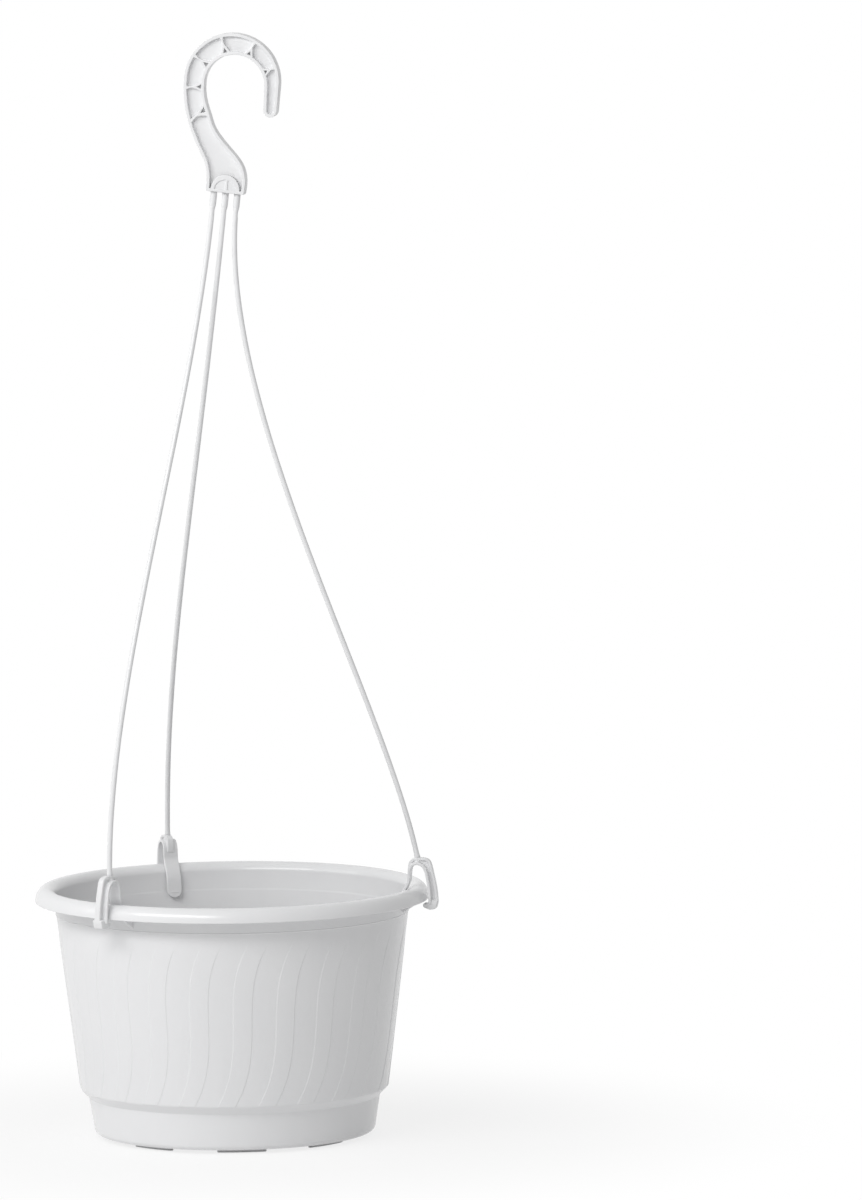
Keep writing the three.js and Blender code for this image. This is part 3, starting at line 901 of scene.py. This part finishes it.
def clip_back():
    """The line along the outside of the outer rib, from the toe up and over the arch."""
    back = rim_radius + CLIP_LIP_GAP + CLIP_OUTER_LEG
    toe_z = lip_z - CLIP_LIP_GAP - CLIP_TOE
    low = bezier((back - 5, toe_z), (back - 2, toe_z + 0.2), (back, toe_z + 2), (back, lip_z), steps=10)
    side = bezier(low[-1], (back - 0.3, pot_height), (rim_radius + 4.4, clip_head_z - 4),
                  (rim_radius + 3.4, clip_head_z + 0.4), steps=12)
    top = bezier(side[-1], (rim_radius + 2.2, clip_top_z), (rim_radius - 1, clip_top_z),
                 (crest_radius + 2, clip_top_z), steps=10)
    end = bezier(top[-1], (crest_radius - 3, clip_top_z), (crest_radius - 5.2, clip_top_z - 1),
                 (crest_radius - 5.2, clip_head_z - 6), steps=12)
    return low + side + top + end


def build_clip(name, angle, material, union):
    window = clip_window()
    back = clip_back()
    half = CLIP_WIDTH / 2
    run = 0.0
    widths = []
    for i, here in enumerate(window):
        run += (here - window[i - 1]).length if i else 0.0
        share = min(run / half, 1.0)
        widths.append(half * max(math.sqrt(1 - (1 - share) ** 2), 0.1))
    face, skin = along(window, CLIP_PLATE, -CLIP_PLATE / 2)
    tongue = strip(face, skin, widths)
    rib = strip(*along(back, CLIP_RIB, -CLIP_RIB / 2), [CLIP_RIB_WIDTH / 2] * len(back))
    first = min(range(len(window)), key=lambda i: abs(window[i].y - (pot_height + 4)))
    web = plate(spaced(back, 1.0) + window[first:], CLIP_WEB / 2)
    nose_z = lip_z - CLIP_LIP_GAP
    lip_face = rim_radius + CLIP_LIP_GAP
    nose = plate(
        rounded(
            [
                (lip_face - CLIP_NOSE, nose_z, 1.0),
                (lip_face - CLIP_NOSE + 0.6, nose_z - CLIP_TOE * 0.6, 1.0),
                (lip_face + 0.6, nose_z - CLIP_TOE, 1.2),
                (lip_face + 4.6, nose_z - CLIP_TOE + 0.6, 1.6),
                (lip_face + CLIP_OUTER_LEG, lip_z, 0.6),
                (lip_face + 0.4, lip_z + 1, 0.4),
                (lip_face - 0.6, nose_z, 0.6),
            ]
        ),
        CLIP_NOSE_WIDTH / 2,
    )
    seat = rim_radius - STRAND_SEAT
    boss = rod(STRAND_RADIUS + 0.6, clip_head_z + 0.2, clip_top_z, seat)
    mark = plate([Vector(p) for p in ((0, 0), (0.5, 0), (0.5, 0.5), (0, 0.5))], half * 0.55)
    mark_at = window[6] - Vector((CLIP_PLATE + 0.15, 0))
    mark = ([(x + mark_at.x, y, z + mark_at.y) for x, y, z in mark[0]], mark[1])
    turn = Matrix.Rotation(math.radians(angle), 4, "Z")
    return fused(name, [tongue, rib, web, nose, boss, mark], CLIP_GRAIN, CLIP_PASSES, turn, union, material)


# ------------------------------------------------------------------ hook


def hook_outline(by=0.0):
    """The upright hook's outline (x, z) from its base's middle, drawn in by a distance."""
    half = HOOK_BASE_WIDTH / 2
    outer_x = HOOK_INNER_X - HOOK_OUTER_SHIFT
    outer_z = HOOK_RISE + HOOK_OUTER_SHIFT
    left = HOOK_INNER_X - HOOK_INNER_RADIUS
    tip_z = HOOK_RISE - HOOK_TIP_DROP + HOOK_TIP_RADIUS
    inner = HOOK_INNER_RADIUS + by
    outer = HOOK_OUTER_RADIUS - by
    line = [Vector((half - by, 0))]

    def curve(*controls):
        line.extend(bezier(line[-1], *[(x + nx * by, z + nz * by) for x, z, nx, nz in controls], steps=14))

    curve((half + 1.6, 12, -1, 0), (half - 2, 18, -0.9, -0.4), (half - 6.7, 23, -0.7, -0.7))
    curve((half - 13.4, 30, -0.65, -0.75), (left + 9.9, 36, -0.75, -0.65), (left + 6.7, 44.5, -0.95, -0.3))
    curve((left + 4.2, 51.5, -1, -0.2), (left, 57, -1, 0), (left, HOOK_RISE, -1, 0))
    line.extend(arc(HOOK_INNER_X, HOOK_RISE, inner, inner, 180, 0, 48)[1:])
    tip = HOOK_TIP_RADIUS - by
    line.extend(arc(HOOK_TIP_X, tip_z, tip, tip, 180, 360, 20))
    line.extend(arc(outer_x, outer_z, outer, outer, 0, 180, 60))
    curve((left - 13.7, 52, 1, 0.1), (left - 6.3, 36, 0.85, 0.5), (-half - 4.9, 22.2, 0.8, 0.5))
    curve((-half - 1.2, 16, 0.9, 0.3), (-half, 12, 1, 0), (-half, 0, 1, 0))
    return line


def crossings(line, start, out):
    """How far along a ray from a point it meets a closed line, in order."""
    found = []
    for a, b in zip(line, line[1:] + line[:1]):
        side = b - a
        across = out.x * side.y - out.y * side.x
        gap = a - start
        share = (gap.x * out.y - gap.y * out.x) / across if across else -1.0
        run = (gap.x * side.y - gap.y * side.x) / across if across else -1.0
        if 0 <= share < 1 and run > 0:
            found.append(run)
    return sorted(found)


def gusset(angle, line):
    """A Y-shaped stiffener that spreads from the outer flange to the inner one, round a small pocket."""
    centre = Vector((HOOK_INNER_X, HOOK_RISE))

    def at(share, degrees, side=0.0):
        a = math.radians(angle + degrees)
        out = Vector((math.cos(a), math.sin(a)))
        deep, reach = crossings(line, centre, out)[:2]
        return centre + out * (deep + (reach - deep) * share) + Vector((-out.y, out.x)) * side

    outline = []
    for hand in (-1, 1):
        spread = HOOK_GUSSET_SPREAD * hand
        foot = at(0, spread)
        waist = at(0.3, spread * 0.3)
        neck = at(0.62, 0, HOOK_GUSSET * 0.4 * hand)
        crown = at(1, 0, HOOK_GUSSET * 1.5 * hand)
        flare = at(0.85, 0, HOOK_GUSSET * 0.5 * hand)
        side = [foot, *bezier(foot, waist, neck, steps=8), *bezier(neck, flare, crown, steps=5)]
        outline += side if hand < 0 else side[::-1]
    pocket = HOOK_GUSSET_POCKET
    outline += [at(0, pocket), at(0.34, 0), at(0, -pocket)]
    return plate(outline, HOOK_DEPTH / 2 - 0.1)


def hook_root():
    """The base: an arched boss with two shallow pockets over the strands' roots."""
    half = HOOK_BASE_WIDTH / 2
    face = HOOK_DEPTH / 2
    arch = arc(0, 1.2, half - 2.9, 10.2, 180, 0, 28)
    inner = arc(0, 1.2, half - 5.2, 6.9, 180, 0, 28)
    foot = [(-half, 0), (half, 0), (half, 1.9), (-half, 1.9)]
    post = [(-0.2, 0.5, 0), (1.4, 0.5, 0), (1.4, 9.6, 0), (-0.2, 9.6, 0)]
    return [
        plate([Vector((-half + 2.9, 0.4)), *arch, Vector((half - 2.9, 0.4))], face - 0.8),
        strip(inner, arch, [face] * len(arch)),
        plate([Vector(p) for p in foot], face + 0.1),
        plate(rounded(post), face - 0.1),
    ]


def stub(side):
    """The root of a strand, moulded on the hook."""
    return rod(STUB_RADIUS, -STUB_LENGTH, STUB_ROOT, side * STUB_SPACING)


def build_hook(material):
    """The hook's shells overlap and are left so, each with eased edges."""
    outline = hook_outline()
    middle = hook_outline(HOOK_FLANGE / 2)
    shells = [
        plate(middle, HOOK_WEB / 2),
        loop(hook_outline(HOOK_FLANGE), outline, HOOK_DEPTH / 2),
        *hook_root(),
        *[gusset(angle, middle) for angle in HOOK_GUSSET_ANGLES],
        *[stub(side) for side in STRAND_SIDES],
    ]
    points, faces = gathered(shells, 1.0)
    made = facing_out(solid("hook_body", points, faces))
    made.data.materials.append(material)
    bevel = made.modifiers.new("edges", "BEVEL")
    bevel.width = HOOK_EDGE / METRE
    bevel.segments = 3
    bevel.limit_method = "ANGLE"
    bevel.angle_limit = math.radians(40)
    bevel.harden_normals = True
    bevel.use_clamp_overlap = False
    finished(made)
    made.data.transform(Matrix.Translation(hook_base / METRE) @ Matrix.Rotation(hook_lean, 4, "Y"))
    return made


# ------------------------------------------------------------------ strands


def strand_path(number, angle):
    radial = Vector((math.cos(math.radians(angle)), math.sin(math.radians(angle)), 0))
    side = STRAND_SIDES[number]
    top = hook_base + hook_across * side * STUB_SPACING - hook_up * (STUB_LENGTH - STRAND_GAP)
    foot = radial * (rim_radius - STRAND_SEAT)
    foot.z = clip_top_z - STRAND_GAP
    span = top.z - foot.z
    arrival = radial * STRAND_LEANS[number] - Vector((0, 0, 1))
    upper = top - hook_up * span * STRAND_TOP_SHARES[number]
    lower = foot - arrival * span * STRAND_FOOT_SHARES[number]
    return [top, *bezier(top, upper, lower, foot, steps=STRAND_STEPS)]


def strand_radius(run, length, number):
    """Drawn thickness: a neck under the stub, slow waves along the length, and a root at the clip."""
    wave = math.sin(run * 0.11 + number * 2.1) + 0.6 * math.sin(run * 0.047 + number)
    radius = STRAND_RADIUS * (0.985 + 0.012 * wave)
    radius += 0.4 * math.exp(-((run / 1.6) ** 2)) - 0.22 * math.exp(-(((run - 4.2) / 1.6) ** 2))
    radius += 0.35 * math.exp(-(((length - run) / 1.8) ** 2))
    return radius


def build_strand(number, angle, material):
    path = strand_path(number, angle)
    length = sum((b - a).length for a, b in zip(path, path[1:]))
    across = Vector((math.cos(math.radians(angle)), math.sin(math.radians(angle)), 0))
    points = [path[0]]
    run = 0.0
    for i, here in enumerate(path):
        run += (here - path[i - 1]).length if i else 0.0
        ahead = (path[min(i + 1, len(path) - 1)] - path[max(i - 1, 0)]).normalized()
        first = (across - ahead * across.dot(ahead)).normalized()
        second = ahead.cross(first)
        radius = strand_radius(run, length, number)
        for k in range(STRAND_FACETS):
            a = math.tau * k / STRAND_FACETS
            points.append(here + (first * math.cos(a) + second * math.sin(a)) * radius)
    points.append(path[-1])
    last = len(points) - 1
    faces = []
    for j in range(STRAND_FACETS):
        k = (j + 1) % STRAND_FACETS
        faces += [(0, 1 + k, 1 + j), (last - STRAND_FACETS + j, last - STRAND_FACETS + k, last)]
        for i in range(len(path) - 1):
            low = 1 + i * STRAND_FACETS
            high = low + STRAND_FACETS
            faces.append((low + j, low + k, high + k, high + j))
    made = facing_out(solid(f"strand_{number + 1}_drawn", points, faces))
    made.data.materials.append(material)
    return made


# ------------------------------------------------------------------ stage


def add_camera():
    azimuth = math.radians(CAMERA_AZIMUTH)
    elevation = math.radians(CAMERA_ELEVATION)
    right = Vector((math.cos(azimuth), math.sin(azimuth), 0))
    away = Vector((math.sin(azimuth), -math.cos(azimuth), 0)) * math.cos(elevation)
    away.z = math.sin(elevation)
    target = right * AXIS_TO_IMAGE_CENTRE + Vector((0, 0, IMAGE_CENTRE_HEIGHT))
    data = bpy.data.cameras.new("camera")
    data.sensor_fit = "VERTICAL"
    data.sensor_height = SENSOR
    data.lens = SENSOR * CAMERA_DISTANCE / IMAGE_HEIGHT
    data.clip_end = 100.0
    made = bpy.data.objects.new("camera", data)
    turn = away.to_track_quat("Z", "Y").to_matrix().to_4x4()
    roll = Matrix.Rotation(math.radians(-CAMERA_ROLL), 4, "Z")
    made.matrix_world = Matrix.Translation((target + away * CAMERA_DISTANCE) / METRE) @ turn @ roll
    bpy.context.scene.collection.objects.link(made)
    bpy.context.scene.camera = made


def add_lamp(name, azimuth, elevation, distance, size, watts, aim=(0, 0, 0.3)):
    """A soft lamp of a width and a height. Its azimuth is from the camera's, positive to its right."""
    a = math.radians(CAMERA_AZIMUTH + azimuth)
    e = math.radians(elevation)
    away = Vector((math.sin(a) * math.cos(e), -math.cos(a) * math.cos(e), math.sin(e)))
    data = bpy.data.lights.new(name, "AREA")
    data.shape = "RECTANGLE"
    data.size, data.size_y = size
    data.energy = watts
    made = bpy.data.objects.new(name, data)
    place = Matrix.Translation(Vector(aim) + away * distance)
    made.matrix_world = place @ away.to_track_quat("Z", "Y").to_matrix().to_4x4()
    bpy.context.scene.collection.objects.link(made)


def seen_directly(board):
    """1 for the rays that show the background itself."""
    kinds = ("Is Camera Ray", "Is Glossy Ray", "Is Transmission Ray")
    path = board.tree.nodes.new("ShaderNodeLightPath")
    first, second, third = [Wire(board, path.outputs[kind]) for kind in kinds]
    return first.math("MAXIMUM", second).math("MAXIMUM", third)


def add_world(fill):
    world = bpy.data.worlds.new("studio")
    world.use_nodes = True
    board = Board(world.node_tree)
    board.tree.nodes.clear()
    strength = seen_directly(board) * (1.0 - fill) + fill
    shade = board.add("ShaderNodeBackground", None, {"Color": (1, 1, 1, 1), "Strength": strength})
    board.add("ShaderNodeOutputWorld", None, {"Surface": shade})
    bpy.context.scene.world = world


def add_floor():
    """A pale floor that is white far away and keeps the object's shadow near it."""
    reach = 60.0
    mesh = bpy.data.meshes.new("floor")
    corners = [(-reach, -reach, 0), (reach, -reach, 0), (reach, reach, 0), (-reach, reach, 0)]
    mesh.from_pydata(corners, [], [(0, 1, 2, 3)])
    floor = bpy.data.objects.new("floor", mesh)
    bpy.context.scene.collection.objects.link(floor)
    material = bpy.data.materials.new("floor_paint")
    material.use_nodes = True
    board = Board(material.node_tree)
    board.tree.nodes.clear()
    place = board.add("ShaderNodeTexCoord", None, None, output=3)
    distance = board.add("ShaderNodeVectorMath", {"operation": "LENGTH"}, {0: place}, output=1)
    share = seen_directly(board) * (board.step(distance, 0.12, 0.4) * 0.2 + 0.8)
    paint = board.add("ShaderNodeBsdfDiffuse", None, {"Color": (0.9, 0.9, 0.9, 1)})
    glow = board.add("ShaderNodeEmission", None, {"Color": (1, 1, 1, 1), "Strength": 1.0})
    mixed = board.add("ShaderNodeMixShader", None, {0: share, 1: paint, 2: glow})
    board.add("ShaderNodeOutputMaterial", None, {"Surface": mixed})
    floor.data.materials.append(material)


# ------------------------------------------------------------------ assembly

scene = bpy.context.scene
scene.view_settings.view_transform = "Standard"
add_camera()
add_world(fill=0.4)
add_lamp("key", -36, 34, 1.7, (1.4, 0.4), 14.5)
add_lamp("side", -85, 24, 1.9, (0.8, 0.8), 4)
add_floor()

ring = ring_tree()
union = union_tree()
white = pot_plastic()
milky = hanger_plastic()
black = insert_plastic()

pot = build_pot(white, ring)
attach(pot, "pot")
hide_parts("pot")

insert = build_insert(black, ring)
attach(insert, "insert")
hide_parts("water_insert")

hook = build_hook(milky)
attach(hook, "hook")
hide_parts("hook")

for number, angle in enumerate(CLIP_ANGLES):
    clip = build_clip(f"clip_{number + 1}_body", angle, milky, union)
    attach(clip, f"clip_{number + 1}")
    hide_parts(f"clip_{number + 1}")
    strand = build_strand(number, angle, milky)
    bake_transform(strand)
    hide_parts(f"strand_{number + 1}")
